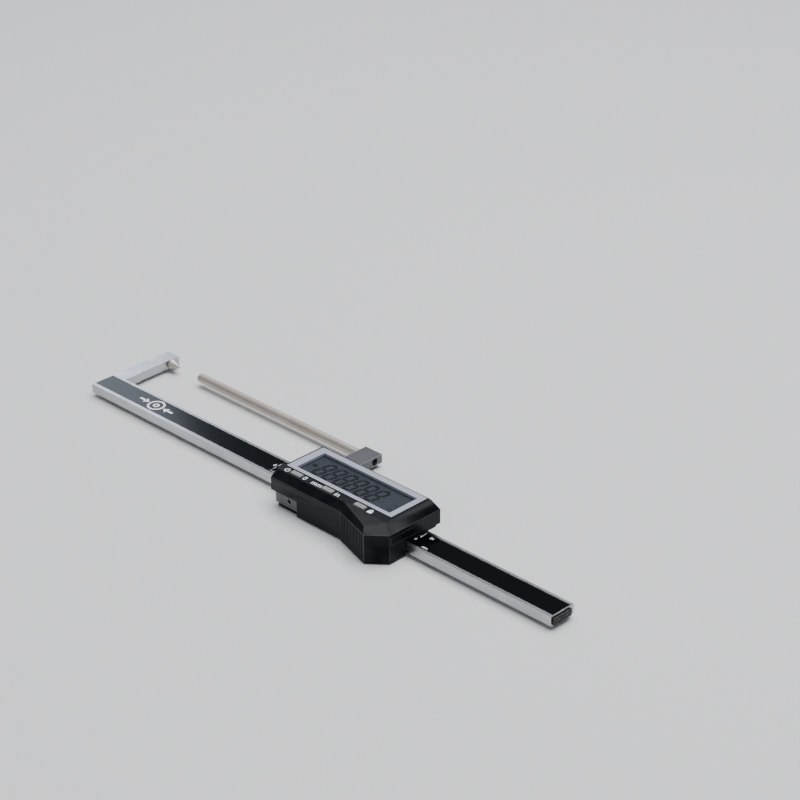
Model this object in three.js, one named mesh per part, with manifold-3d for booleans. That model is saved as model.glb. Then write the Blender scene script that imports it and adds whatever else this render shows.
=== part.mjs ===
// Digital caliper for brake discs: a steel beam with a fixed anvil, and a slider that carries
// the display housing and a long measuring rod. Millimetres, +Z up. The beam runs along X, the
// jaws point to +Y, and the origin is on the underside of the slider's back plate.
import * as THREE from "three";
import { ConvexGeometry } from "three/addons/geometries/ConvexGeometry.js";
import { mergeVertices } from "three/addons/utils/BufferGeometryUtils.js";
import Module from "manifold-3d";

const wasm = await Module();
wasm.setup();

// ---- Driving dimensions -----------------------------------------------------------------

const GAP = 0.1; // clearance between neighbouring faces
const THREAD_GAP = 0.15; // clearance round a screw
const ROUND = 20; // sides of a small round piece

const BEAM = { x0: -200, x1: 136, y0: -8, y1: 8, z0: 2.5, z1: 7.5 };
const BEAM_ARM = { root: 9.5, width: 9, shoulder: 18.4, reach: 47 };
const STRIP_POCKET = { x0: -199.4, x1: 135.3, y0: -6, y1: 6.4, depth: 0.4 };
const STRIP_THICKNESS = 0.33;

const JAW_AXIS = { y: 41.4, z: 5 };
const ANVIL = { stem: 1.5, collar: 3, collarLength: 1.6, tip: 0.25, length: 7.3 };
const ROD_SCREW = { head: 2.1, headLength: 1.6, shank: 1.3, length: 18, sunk: 0.3 };
const ROD = { radius: 2.5, x0: -166.5, x1: -41.35, chamfer: 0.4 };

const END_STOP = { thickness: 1, y0: -7.1, y1: 5.6, z0: 2.9, z1: 6.7 };
const END_SCREW = { ys: [-4.2, 2.8], head: 1.3, headLength: 0.45, shank: 0.8, length: 5 };

const FRAME = { x0: -40, x1: 34, y0: -18.2, y1: 15.6, z0: 2.35, railTop: 7.7, bridgeTop: 9 };
const BRIDGES = [[-40, -22], [28, 34]];
const BRIDGE_Y1 = 14.7;
const CHANNEL = { y0: -8.6, y1: 8.15, top: 7.75 };
const SLIDER_ARM = { x0: -41.2, x1: -29.2, reach: 46.8, z0: 2.5, z1: 7.5 };
const GIB = { x0: -38, x1: 32, y0: -8.5, y1: -8.1, z0: 2.9, z1: 7.1 };
const GIB_SCREW = { xs: [-30, 22], z: 6, head: 1.25, headLength: 1, shank: 1.2, length: 9.4 };
const LOCK_PAD = { x: 4, z0: 3.5, z1: 6.5, thickness: 1.35, pocketX: 4.2, pocketZ0: 3.3, pocketZ1: 6.7 };

const BACK_PLATE = { x0: -40, x1: 34, y0: -17.5, y1: 15, z1: 2.2, corner: 1.5 };
const PLATE_SCREW = { head: 1.9, headLength: 1.05, shank: 1, length: 6 };
const HOUSING_SCREW = { head: 2, headLength: 1, shank: 1, length: 11.5 };
const PLATE_SCREWS = [[-24, -13], [-24, 12], [15, -13], [15, 12]];
const HOUSING_SCREWS = [[-37.3, -14], [-37.3, 12.5], [31, 12.5]];
const BOSS_RADIUS = 1.75;

const SHELL = { x0: -41.5, x1: 42, y0: -19.8, y1: 16.3, wall: 1.4, bottom: 0.9 };
const SHELL_TOP = { x1: 35.5, y0: -15, z: 19.5, thickness: 1.6 };
const SHELL_EDGE_Z = 16.5; // lower edge of the sloping front and right faces
const BULGE_START = [8.4, -19.8];
const BULGE_NOSE = [32.5, -27.2];
const BULGE_END = [42, -19.1];
const BULGE_FOLD = [29, -23.4, 18.65];
const BULGE_TOP_X = 6.5;
const BULGE_BOTTOM = 0.3;
const BULGE_OPENING = [[10.5, -18.6], [32, -21], [40, -17], [40, -14], [10.5, -14]];
const BULGE_OPENING_TOP = 13;
const SKIRT_X = -23; // the front skirt starts here and leaves the frame's corner bare
const SKIRT_Z = { front: 9.3, back: 8.7, beamExit: 7.9 };
const GRIP_LID = { z0: 0.4, z1: 1.8 };

const BEZEL = { x0: -40, x1: 34, y0: -10, y1: 15.3, z0: 19.55, z1: 19.95 };
const LENS = { x0: -35.2, x1: 30.5, y0: -7.5, y1: 11.6, z0: 18.05, z1: 18.65 };
const BEZEL_LIP = 0.9;
const LCD_THICKNESS = 1.5;

const BUTTON = { length: 7.2, width: 3, top: 20.2, travel: 0.6, y: -12.6 };
const FLANGE = { z0: 15.2, z1: 16.9, margin: 0.4 };
const STEM = { half: 1.2, top: 15.5, above: 0.5 };
const BUTTONS = { button_power: -29.8, button_unit: -7.3, button_hold: 15.4 };

const BOARD = { x0: -34.2, x1: 33, y0: -16.5, y1: 14, z0: 9.1, z1: 10.1 };
const DRAWER = { x0: 19.6, x1: 42, y0: -17.8, y1: 4.2, z0: 10.4, z1: 14.3, floor: 0.5 };
const CELL = { radius: 10, height: 3.2, x: 30.4, y: -6.8 };
const ZEBRA = { x0: -20, x1: 18, width: 1.4, front: -6.6, back: 9.2 };
const CHIP = { x0: -14, x1: -4, y0: -2, y1: 8, height: 1.25 };
const CONTACT = { size: 4, thickness: 0.17, pos: [21, -3], neg: [28, -8.8] };

const LOCK = { x: 0, z: 5, head: 3.5, headY0: 16.9, headY1: 22, shank: 1.5 };

// ---- Finishes ---------------------------------------------------------------------------

function finish(color, roughness, metalness) {
  return { color, roughness, metalness };
}

const STEEL = finish(0xb9bbc0, 0.3, 1);
const GROUND_STEEL = finish(0x8c8d90, 0.45, 1);
const ROD_STEEL = finish(0xcfc8c0, 0.4, 1);
const BLACK_STEEL = finish(0x1b1b18, 0.45, 0.8);
const BRASS = finish(0xb08d45, 0.4, 1);
const LAMINATE = finish(0x0c1114, 0.15, 0);
const ABS = finish(0x15191b, 0.4, 0);
const SILVER = finish(0xb9bdc9, 0.35, 0.3);
const ACRYLIC = finish(0xdfe6ea, 0.05, 0);
const LCD_GLASS = finish(0x3c424a, 0.3, 0);
const KEY_RUBBER = finish(0xa9afab, 0.7, 0);
const DARK_RUBBER = finish(0x2a2a2c, 0.8, 0);
const BOARD_GREEN = finish(0x1f5a33, 0.5, 0);
const EPOXY = finish(0x111214, 0.5, 0);

// ---- Geometry helpers -------------------------------------------------------------------

function box(x0, x1, y0, y1, z0, z1) {
  const shape = new THREE.BoxGeometry(x1 - x0, y1 - y0, z1 - z0);
  return shape.translate((x0 + x1) / 2, (y0 + y1) / 2, (z0 + z1) / 2);
}

// A profile of [radius, height] points, from axis to axis, turned about Z.
function turned(profile, sides = ROUND) {
  const points = profile.map(([r, z]) => new THREE.Vector2(r, z));
  return new THREE.LatheGeometry(points, sides).rotateX(Math.PI / 2);
}

function alongX(geometry, x, y, z) {
  return geometry.rotateY(Math.PI / 2).translate(x, y, z);
}

// Turns +Z to +Y, then moves the piece.
function alongY(geometry, x, y, z) {
  return geometry.rotateX(-Math.PI / 2).translate(x, y, z);
}

function pin(radius, length, sides = ROUND) {
  return turned([[0, 0], [radius, 0], [radius, length], [0, length]], sides);
}

// A screw standing on its head: the head from 0 up, a round recess in it, then the shank.
function screw({ head, headLength, shank, length }) {
  const recess = head * 0.45;
  const profile = [
    [0, headLength * 0.5],
    [recess, headLength * 0.5],
    [recess, 0],
    [head, 0],
    [head, headLength],
    [shank, headLength],
    [shank, length],
    [0, length],
  ];
  return turned(profile);
}

function hull(points) {
  return new ConvexGeometry(points.map(([x, y, z]) => new THREE.Vector3(x, y, z)));
}

// The plan outline at two heights.
function column(outline, z0, z1) {
  return [...outline.map(([x, y]) => [x, y, z0]), ...outline.map(([x, y]) => [x, y, z1])];
}

// Moves each edge of an anticlockwise outline inwards by the same distance.
function inset(outline, distance) {
  const count = outline.length;
  const lines = outline.map(([x, y], i) => {
    const [nextX, nextY] = outline[(i + 1) % count];
    const length = Math.hypot(nextX - x, nextY - y);
    const direction = [(nextX - x) / length, (nextY - y) / length];
    const start = [x - direction[1] * distance, y + direction[0] * distance];
    return { start, direction };
  });
  return lines.map((line, i) => {
    const before = lines[(i + count - 1) % count];
    const dx = line.start[0] - before.start[0];
    const dy = line.start[1] - before.start[1];
    const cross = before.direction[0] * line.direction[1] - before.direction[1] * line.direction[0];
    const along = (dx * line.direction[1] - dy * line.direction[0]) / cross;
    return [
      before.start[0] + before.direction[0] * along,
      before.start[1] + before.direction[1] * along,
    ];
  });
}

function roundedPlate(size, z0, z1) {
  const { x0, x1, y0, y1, corner } = size;
  const shape = new THREE.Shape();
  shape.moveTo(x0 + corner, y0);
  shape.lineTo(x1 - corner, y0);
  shape.absarc(x1 - corner, y0 + corner, corner, -Math.PI / 2, 0);
  shape.absarc(x1 - corner, y1 - corner, corner, 0, Math.PI / 2);
  shape.absarc(x0 + corner, y1 - corner, corner, Math.PI / 2, Math.PI);
  shape.absarc(x0 + corner, y0 + corner, corner, Math.PI, Math.PI * 1.5);
  const options = { depth: z1 - z0, bevelEnabled: false, curveSegments: 4 };
  return new THREE.ExtrudeGeometry(shape, options).translate(0, 0, z0);
}

function solid(geometry) {
  const plain = geometry.clone();
  plain.deleteAttribute("normal");
  plain.deleteAttribute("uv");
  const merged = mergeVertices(plain, 1e-4);
  const mesh = new wasm.Mesh({
    numProp: 3,
    vertProperties: merged.attributes.position.array,
    triVerts: new Uint32Array(merged.index.array),
  });
  return new wasm.Manifold(mesh);
}

function geometryOf(manifold) {
  const mesh = manifold.getMesh();
  const geometry = new THREE.BufferGeometry();
  geometry.setAttribute("position", new THREE.BufferAttribute(mesh.vertProperties, 3));
  geometry.setIndex(new THREE.BufferAttribute(mesh.triVerts, 1));
  const faceted = geometry.toNonIndexed();
  faceted.computeVertexNormals();
  return faceted;
}

// Joins the first list of shapes and cuts the second list away.
function build(joined, removed = []) {
  let body = joined.map(solid).reduce((sum, next) => sum.add(next));
  for (const tool of removed) body = body.subtract(solid(tool));
  return geometryOf(body);
}

function piece(parent, name, geometry, look) {
  const mesh = new THREE.Mesh(geometry, new THREE.MeshStandardMaterial(look));
  mesh.name = name;
  parent.add(mesh);
  return mesh;
}

// ---- Beam -------------------------------------------------------------------------------

function beamSteel() {
  const { x0, x1, y0, y1, z0, z1 } = BEAM;
  const bar = box(x0, x1, y0, y1, z0, z1);
  const root = box(x0, x0 + BEAM_ARM.root, 0, BEAM_ARM.shoulder, z0, z1);
  const arm = box(x0, x0 + BEAM_ARM.width, 0, BEAM_ARM.reach, z0, z1);
  const pocket = STRIP_POCKET;
  const floor = z1 - pocket.depth;
  const bore = pin(ANVIL.stem + THREAD_GAP, 12);
  const cuts = [
    box(pocket.x0, pocket.x1, pocket.y0, pocket.y1, floor, z1 + 1),
    alongX(bore, x0 - 1, JAW_AXIS.y, JAW_AXIS.z),
  ];
  for (const y of END_SCREW.ys) {
    cuts.push(alongX(pin(END_SCREW.shank + THREAD_GAP, 7), x1 - 6, y, endStopZ()));
  }
  return build([bar, root, arm], cuts);
}

function scaleStrip() {
  const { x0, x1, y0, y1, depth } = STRIP_POCKET;
  const floor = BEAM.z1 - depth + 0.05;
  return box(x0 + 0.2, x1 - 0.2, y0 + GAP, y1 - GAP, floor, floor + STRIP_THICKNESS);
}

// Stem in the arm, a collar against it, and a cone whose tip faces the rod.
function anvil() {
  const stemLength = BEAM_ARM.width - 0.5;
  const collar = stemLength + GAP + ANVIL.collarLength;
  const profile = [
    [0, 0],
    [ANVIL.stem, 0],
    [ANVIL.stem, stemLength + GAP],
    [ANVIL.collar, stemLength + GAP],
    [ANVIL.collar, collar],
    [ANVIL.tip, stemLength + ANVIL.length],
    [0, stemLength + ANVIL.length],
  ];
  return alongX(turned(profile, 32), BEAM.x0 + 0.5, JAW_AXIS.y, JAW_AXIS.z);
}

function endStopZ() {
  return (END_STOP.z0 + END_STOP.z1) / 2;
}

function endStop() {
  const x0 = BEAM.x1 + 0.05;
  const plate = box(x0, x0 + END_STOP.thickness, END_STOP.y0, END_STOP.y1, END_STOP.z0, END_STOP.z1);
  const cuts = END_SCREW.ys.flatMap((y) => [
    alongX(pin(END_SCREW.shank + THREAD_GAP, 3), x0 - 1, y, endStopZ()),
    alongX(pin(END_SCREW.head + THREAD_GAP, 3), x0 + END_STOP.thickness - 0.6, y, endStopZ()),
  ]);
  return build([plate], cuts);
}

function buildBeam() {
  const group = new THREE.Group();
  piece(group, "beam", beamSteel(), STEEL);
  piece(group, "scale_strip", scaleStrip(), LAMINATE);
  piece(group, "fixed_anvil", anvil(), ROD_STEEL);
  piece(group, "end_stop", endStop(), BLACK_STEEL);
  END_SCREW.ys.forEach((y, i) => {
    const part = piece(group, `end_stop_screw_${i + 1}`, screw(END_SCREW), BLACK_STEEL);
    part.rotation.y = -Math.PI / 2;
    part.position.set(BEAM.x1 + END_STOP.thickness + 0.03, y, endStopZ());
  });
  return group;
}

// ---- Slider: steel frame, gib, back plate, measuring rod ----------------------------------

function sliderFrame() {
  const { x0, x1, y0, y1, z0, railTop, bridgeTop } = FRAME;
  const body = [box(x0, x1, y0, y1, z0, railTop)];
  for (const [left, right] of BRIDGES) {
    body.push(box(left, right, y0, BRIDGE_Y1, z0, bridgeTop));
  }
  const arm = SLIDER_ARM;
  const pad = LOCK_PAD;
  const headRoom = ROD_SCREW.sunk + ROD_SCREW.headLength + GAP;
  body.push(box(arm.x0, arm.x1, y1 - 4, arm.reach, arm.z0, arm.z1));
  const cuts = [
    box(x0 - 5, x1 + 5, CHANNEL.y0, CHANNEL.y1, z0 - 1, CHANNEL.top),
    box(-pad.pocketX, pad.pocketX, CHANNEL.y1 - 1, CHANNEL.y1 + 1.5, pad.pocketZ0, pad.pocketZ1),
    alongY(pin(LOCK.shank + THREAD_GAP, 12), LOCK.x, CHANNEL.y1, LOCK.z),
    alongX(pin(ROD_SCREW.shank + THREAD_GAP, 20), arm.x0 - 2, JAW_AXIS.y, JAW_AXIS.z),
    alongX(pin(ROD_SCREW.head + THREAD_GAP, 4), arm.x1 - headRoom, JAW_AXIS.y, JAW_AXIS.z),
  ];
  for (const x of GIB_SCREW.xs) {
    const bore = pin(GIB_SCREW.head + THREAD_GAP, 14);
    cuts.push(alongY(bore, x, y0 - 2, GIB_SCREW.z));
  }
  for (const [x, y] of PLATE_SCREWS) {
    cuts.push(pin(PLATE_SCREW.shank + THREAD_GAP, 5).translate(x, y, z0 - 0.5));
  }
  for (const [x, y] of HOUSING_SCREWS) {
    cuts.push(pin(HOUSING_SCREW.shank + THREAD_GAP, 8).translate(x, y, z0 - 0.5));
    cuts.push(pin(HOUSING_SCREW.head + THREAD_GAP, 1.9).translate(x, y, z0 - 0.5));
  }
  return build(body, cuts);
}

function backPlate() {
  const { x0, x1, y0, y1, z1, corner } = BACK_PLATE;
  const cuts = PLATE_SCREWS.flatMap(([x, y]) => [
    pin(PLATE_SCREW.shank + THREAD_GAP, 4).translate(x, y, -1),
    pin(PLATE_SCREW.head + THREAD_GAP, 2).translate(x, y, -0.8),
  ]);
  return build([roundedPlate({ x0, x1, y0, y1, corner }, 0, z1)], cuts);
}

function measuringRod() {
  const { radius, x0, x1, chamfer } = ROD;
  const length = x1 - x0;
  const profile = [
    [0, 0],
    [radius - chamfer, 0],
    [radius, chamfer],
    [radius, length],
    [1.5, length],
    [1.5, length - 7],
    [0, length - 7],
  ];
  return alongX(turned(profile, 32), x0, JAW_AXIS.y, JAW_AXIS.z);
}

function lockScrew() {
  const { head, headY0, headY1, shank } = LOCK;
  const length = headY1 - headY0;
  const start = CHANNEL.y1 + 1.6 - headY0;
  const profile = [
    [0, start],
    [shank, start],
    [shank, 0],
    [head, 0],
    [head, length - 0.5],
    [head - 0.5, length],
    [0, length],
  ];
  return alongY(turned(profile, 24), LOCK.x, headY0, LOCK.z);
}

function buildSliderSteel(group) {
  piece(group, "slider_frame", sliderFrame(), GROUND_STEEL);
  piece(group, "gib_strip", box(GIB.x0, GIB.x1, GIB.y0, GIB.y1, GIB.z0, GIB.z1), BRASS);
  const pad = LOCK_PAD;
  const padY = CHANNEL.y1 + 0.05;
  piece(group, "lock_pad", box(-pad.x, pad.x, padY, padY + pad.thickness, pad.z0, pad.z1), BRASS);
  piece(group, "back_plate", backPlate(), BLACK_STEEL);
  piece(group, "measuring_rod", measuringRod(), ROD_STEEL);
  const holdScrew = piece(group, "rod_screw", screw(ROD_SCREW), BLACK_STEEL);
  holdScrew.rotation.y = -Math.PI / 2;
  holdScrew.position.set(SLIDER_ARM.x1 - ROD_SCREW.sunk, JAW_AXIS.y, JAW_AXIS.z);
  GIB_SCREW.xs.forEach((x, i) => {
    const grub = piece(group, `gib_screw_${i + 1}`, screw(GIB_SCREW), BLACK_STEEL);
    grub.rotation.x = -Math.PI / 2;
    grub.position.set(x, FRAME.y0 + 0.2, GIB_SCREW.z);
  });
  PLATE_SCREWS.forEach(([x, y], i) => {
    const part = piece(group, `back_plate_screw_${i + 1}`, screw(PLATE_SCREW), BLACK_STEEL);
    part.position.set(x, y, 0.1);
  });
  HOUSING_SCREWS.forEach(([x, y], i) => {
    const part = piece(group, `housing_screw_${i + 1}`, screw(HOUSING_SCREW), BLACK_STEEL);
    part.position.set(x, y, FRAME.z0 + 0.2);
  });
}

// ---- Display housing ----------------------------------------------------------------------

function bulgeOutline() {
  return [
    BULGE_START,
    BULGE_NOSE,
    BULGE_END,
    [SHELL.x1, SHELL_TOP.y0],
    [BULGE_START[0], SHELL_TOP.y0],
  ];
}

function shellOutline() {
  return [
    [SHELL.x0, SHELL.y0],
    [BULGE_NOSE[0], SHELL.y0],
    BULGE_END,
    [SHELL.x1, SHELL.y1],
    [SHELL.x0, SHELL.y1],
  ];
}

function topOutline() {
  return [
    [SHELL.x0, SHELL_TOP.y0],
    [SHELL_TOP.x1, SHELL_TOP.y0],
    [SHELL_TOP.x1, SHELL.y1],
    [SHELL.x0, SHELL.y1],
  ];
}

function bezelWindow(margin) {
  const lip = BEZEL_LIP + margin;
  return box(LENS.x0 - lip, LENS.x1 + lip, LENS.y0 - lip, LENS.y1 + lip, LENS.z0 - 1.8, 21);
}

function housingShell() {
  const { wall, bottom } = SHELL;
  const topZ = SHELL_TOP.z;
  const flat = (outline, z) => outline.map(([x, y]) => [x, y, z]);
  const main = hull([...column(shellOutline(), bottom, SHELL_EDGE_Z), ...flat(topOutline(), topZ)]);
  const bulge = hull([
    ...column(bulgeOutline(), BULGE_BOTTOM, SHELL_EDGE_Z),
    [BULGE_TOP_X, SHELL_TOP.y0, topZ],
    [SHELL_TOP.x1, SHELL_TOP.y0, topZ],
    BULGE_FOLD,
  ]);
  const ceiling = topZ - SHELL_TOP.thickness;
  const cavity = hull([
    ...column(inset(shellOutline(), wall), -1, SHELL_EDGE_Z - 1),
    ...flat(inset(topOutline(), wall), ceiling),
  ]);
  const bulgeCavity = hull(column(inset(bulgeOutline(), wall), -1, SHELL_EDGE_Z - 1.5));
  const left = SHELL.x0 - 3;
  const right = SHELL.x1 + 3;
  const front = SHELL.y0 - 5;
  const back = SHELL.y1 + 4;
  const slit = 0.2; // clearance round the drawer
  const { y0, y1, z0, z1 } = DRAWER;
  const cuts = [
    cavity,
    bulgeCavity,
    hull(column(BULGE_OPENING, -1, BULGE_OPENING_TOP)),
    box(left, SKIRT_X, front, CHANNEL.y0 + 0.3, -1, SKIRT_Z.front),
    box(left, FRAME.x0 + 1, front, back, -1, SKIRT_Z.front),
    box(FRAME.x1 + 2, right, CHANNEL.y0 + 0.1, back, -1, SKIRT_Z.beamExit),
    box(left, right, SHELL.y1 - 3, back, -1, SKIRT_Z.back),
    box(SHELL.x1 - 4, right, y0 - slit, y1 + slit, z0 - slit, z1 + slit),
  ];
  const body = build([main, bulge], cuts);
  const bossZ = FRAME.bridgeTop + GAP;
  const boreZ = FRAME.bridgeTop - 0.5;
  const bore = HOUSING_SCREW.shank + THREAD_GAP;
  const bosses = HOUSING_SCREWS.map(([x, y]) => pin(BOSS_RADIUS, 9).translate(x, y, bossZ));
  const bores = HOUSING_SCREWS.map(([x, y]) => pin(bore, 6).translate(x, y, boreZ));
  const slots = Object.values(BUTTONS).map((x) => {
    const length = BUTTON.length / 2 + THREAD_GAP;
    const width = BUTTON.width / 2 + THREAD_GAP;
    return box(x - length, x + length, BUTTON.y - width, BUTTON.y + width, 15, 21);
  });
  return build([body, ...bosses], [...bores, ...slots, bezelWindow(0.1)]);
}

// The lid under the bulge, held inside its walls.
function gripBase() {
  const outline = inset(bulgeOutline(), SHELL.wall + 0.15).filter(([, y]) => y < -18);
  const back = FRAME.y0 - 0.3;
  const corners = [...outline, [SHELL.x1 - 3, back], [BULGE_START[0] + 4, back]];
  return hull(column(corners, GRIP_LID.z0, GRIP_LID.z1));
}

function displayBezel() {
  const { x0, x1, y0, y1, z0, z1 } = BEZEL;
  const lip = BEZEL_LIP;
  const ring = box(x0, x1, y0, y1, z0, z1);
  const skirt = box(LENS.x0 - lip, LENS.x1 + lip, LENS.y0 - lip, LENS.y1 + lip, LENS.z0, z0 + 0.1);
  const hole = box(LENS.x0 - GAP, LENS.x1 + GAP, LENS.y0 - GAP, LENS.y1 + GAP, LENS.z0 - 1, z1 + 1);
  return build([ring, skirt], [hole]);
}

function lcdPanel() {
  const top = LENS.z0 - 0.1;
  return box(LENS.x0, LENS.x1, LENS.y0, LENS.y1, top - LCD_THICKNESS, top);
}

function circuitBoard() {
  const { x0, x1, y0, y1, z0, z1 } = BOARD;
  const [screwX, screwY] = HOUSING_SCREWS[2];
  const corner = box(screwX - 3, x1 + 1, screwY - 3, y1 + 1, z0 - 1, z1 + 1);
  return build([box(x0, x1, y0, y1, z0, z1)], [corner]);
}

function buildElectronics(group) {
  const glassBottom = LENS.z0 - 0.1 - LCD_THICKNESS;
  const level = BOARD.z1 + 0.05;
  const strip = (y) => box(ZEBRA.x0, ZEBRA.x1, y, y + ZEBRA.width, level, glassBottom - 0.05);
  const base = BOARD.z1 + 0.03;
  const { size, thickness } = CONTACT;
  const pad = ([x, y]) => box(x, x + size, y, y + size, base, base + thickness);
  piece(group, "circuit_board", circuitBoard(), BOARD_GREEN);
  piece(group, "zebra_strip_front", strip(ZEBRA.front), DARK_RUBBER);
  piece(group, "zebra_strip_back", strip(ZEBRA.back), DARK_RUBBER);
  const { x0, x1, y0, y1, height } = CHIP;
  piece(group, "controller_chip", box(x0, x1, y0, y1, level, level + height), EPOXY);
  piece(group, "battery_contact_pos", pad(CONTACT.pos), BRASS);
  piece(group, "battery_contact_neg", pad(CONTACT.neg), BRASS);
  Object.values(BUTTONS).forEach((x, i) => {
    const dome = turned([[0, 0], [2, 0], [1.4, 0.35], [0, 0.45]], 16);
    const part = piece(group, `button_dome_${i + 1}`, dome, STEEL);
    part.position.set(x, BUTTON.y, base);
  });
}

function buildHousing(group) {
  piece(group, "upper_housing", housingShell(), ABS);
  piece(group, "grip_base", gripBase(), ABS);
  piece(group, "display_bezel", displayBezel(), SILVER);
  piece(group, "display_lens", box(LENS.x0, LENS.x1, LENS.y0, LENS.y1, LENS.z0, LENS.z1), ACRYLIC);
  piece(group, "lcd_panel", lcdPanel(), LCD_GLASS);
}

// ---- Pieces that move on the slider -------------------------------------------------------

// A cap, a flange that keeps it under the housing's top, and a stem over the dome switch.
function buttonShape() {
  const halfLength = BUTTON.length / 2;
  const halfWidth = BUTTON.width / 2;
  const x = halfLength + FLANGE.margin;
  const y = halfWidth + FLANGE.margin;
  const foot = BOARD.z1 + STEM.above + BUTTON.travel;
  return build([
    box(-halfLength, halfLength, -halfWidth, halfWidth, STEM.top, BUTTON.top),
    box(-x, x, -y, y, FLANGE.z0, FLANGE.z1),
    box(-STEM.half, STEM.half, -STEM.half, STEM.half, foot, STEM.top),
  ]);
}

function batteryDrawer() {
  const { x0, x1, y0, y1, z0, z1, floor } = DRAWER;
  const well = pin(CELL.radius + 0.2, 6, 48).translate(CELL.x, CELL.y, z0 + floor);
  return build([box(x0, x1, y0, y1, z0, z1)], [well]);
}

function buildMovingPieces(group) {
  for (const [name, x] of Object.entries(BUTTONS)) {
    const key = piece(group, name, buttonShape(), KEY_RUBBER);
    key.position.set(x, BUTTON.y, 0);
  }
  piece(group, "battery_drawer", batteryDrawer(), ABS);
  const cell = piece(group, "battery_cell", pin(CELL.radius, CELL.height, 48), STEEL);
  cell.position.set(CELL.x, CELL.y, DRAWER.z0 + DRAWER.floor + 0.05);
  piece(group, "lock_screw", lockScrew(), STEEL);
}

// ---- Assembly -----------------------------------------------------------------------------

const group = new THREE.Group();
const slider = new THREE.Group();
buildSliderSteel(slider);
buildHousing(slider);
buildElectronics(slider);
buildMovingPieces(slider);
group.add(buildBeam(), slider);

export default group;
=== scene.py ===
"""Looks of a digital brake-disc caliper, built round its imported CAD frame.

The beam, its printed scale and the fixed anvil stay still. The slider carries the steel frame, the
display housing and the measuring rod. Sizes in the classes are millimetres; Blender's are metres.
"""

import logging
import math
from collections.abc import Callable, Iterable, Sequence
from dataclasses import dataclass
from enum import Enum

import bmesh
import bpy
from mathutils import Matrix, Vector


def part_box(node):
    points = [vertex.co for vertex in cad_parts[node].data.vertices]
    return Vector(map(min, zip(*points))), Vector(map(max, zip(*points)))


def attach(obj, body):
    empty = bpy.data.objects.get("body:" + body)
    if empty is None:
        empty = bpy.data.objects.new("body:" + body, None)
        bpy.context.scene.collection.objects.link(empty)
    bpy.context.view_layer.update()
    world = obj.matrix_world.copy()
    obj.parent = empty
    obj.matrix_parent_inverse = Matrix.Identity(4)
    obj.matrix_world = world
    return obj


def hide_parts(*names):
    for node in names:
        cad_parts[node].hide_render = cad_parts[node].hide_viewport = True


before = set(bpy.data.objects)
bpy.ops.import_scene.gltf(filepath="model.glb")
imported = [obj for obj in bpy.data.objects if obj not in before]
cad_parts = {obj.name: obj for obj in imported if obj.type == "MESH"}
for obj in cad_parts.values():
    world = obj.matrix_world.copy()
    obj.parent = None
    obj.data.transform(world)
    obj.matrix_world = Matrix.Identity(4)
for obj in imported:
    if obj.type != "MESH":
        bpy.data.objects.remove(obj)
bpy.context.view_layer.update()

LOG = logging.getLogger("caliper")
MM = 0.001
# How thick printed ink is and how deep it reaches into its surface, in millimetres.
PRINT_THICKNESS = 0.02
PRINT_SINK = 0.005
# Points nearer than this, in millimetres, are one: in a new mesh, and among the CAD's loose triangles.
WELD = 1e-4
CAD_WELD = 0.002
# Faces that meet at more than this keep a sharp edge in their shading.
CREASE = math.radians(38)
# Faces of the CAD that meet at less than this are one flat face.
FLAT = math.radians(0.4)


# ---- Colour and nodes -------------------------------------------------------------------------


def linear(hex_colour: str) -> tuple[float, float, float, float]:
    """Turn an sRGB hex colour into the linear colour that a shader takes.

    Args:
        hex_colour: six hex digits, such as "b9bbc0".

    Returns:
        Linear red, green, blue and an alpha of 1.
    """
    channels = [int(hex_colour[i : i + 2], 16) / 255 for i in (0, 2, 4)]
    curved = [c / 12.92 if c <= 0.04045 else ((c + 0.055) / 1.055) ** 2.4 for c in channels]
    return curved[0], curved[1], curved[2], 1.0


def add(tree: bpy.types.NodeTree, kind: str, links: dict | None = None, **settings: object) -> bpy.types.Node:
    """Add a node, give it its settings, and link or set its inputs.

    Args:
        tree: the material's node tree.
        kind: the node's type without the ShaderNode prefix.
        links: input name or index to an output socket, or to a plain value.
        settings: attributes of the node.

    Returns:
        The new node.
    """
    node = tree.nodes.new("ShaderNode" + kind)
    for key, value in settings.items():
        setattr(node, key, value)
    for key, value in (links or {}).items():
        if isinstance(value, bpy.types.NodeSocket):
            tree.links.new(value, node.inputs[key])
        else:
            node.inputs[key].default_value = value
    return node


class Grain(Enum):
    """Which way the marks of the tool run, as noise cells per metre along X, Y and Z."""

    ALONG_BEAM = (40.0, 4200.0, 4200.0)
    ALONG_JAW = (4200.0, 60.0, 4200.0)
    ROUND_ROD = (3600.0, 90.0, 90.0)
    ROUND_LOCK = (90.0, 3600.0, 90.0)
    FLAT_LAP = (900.0, 900.0, 900.0)


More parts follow.
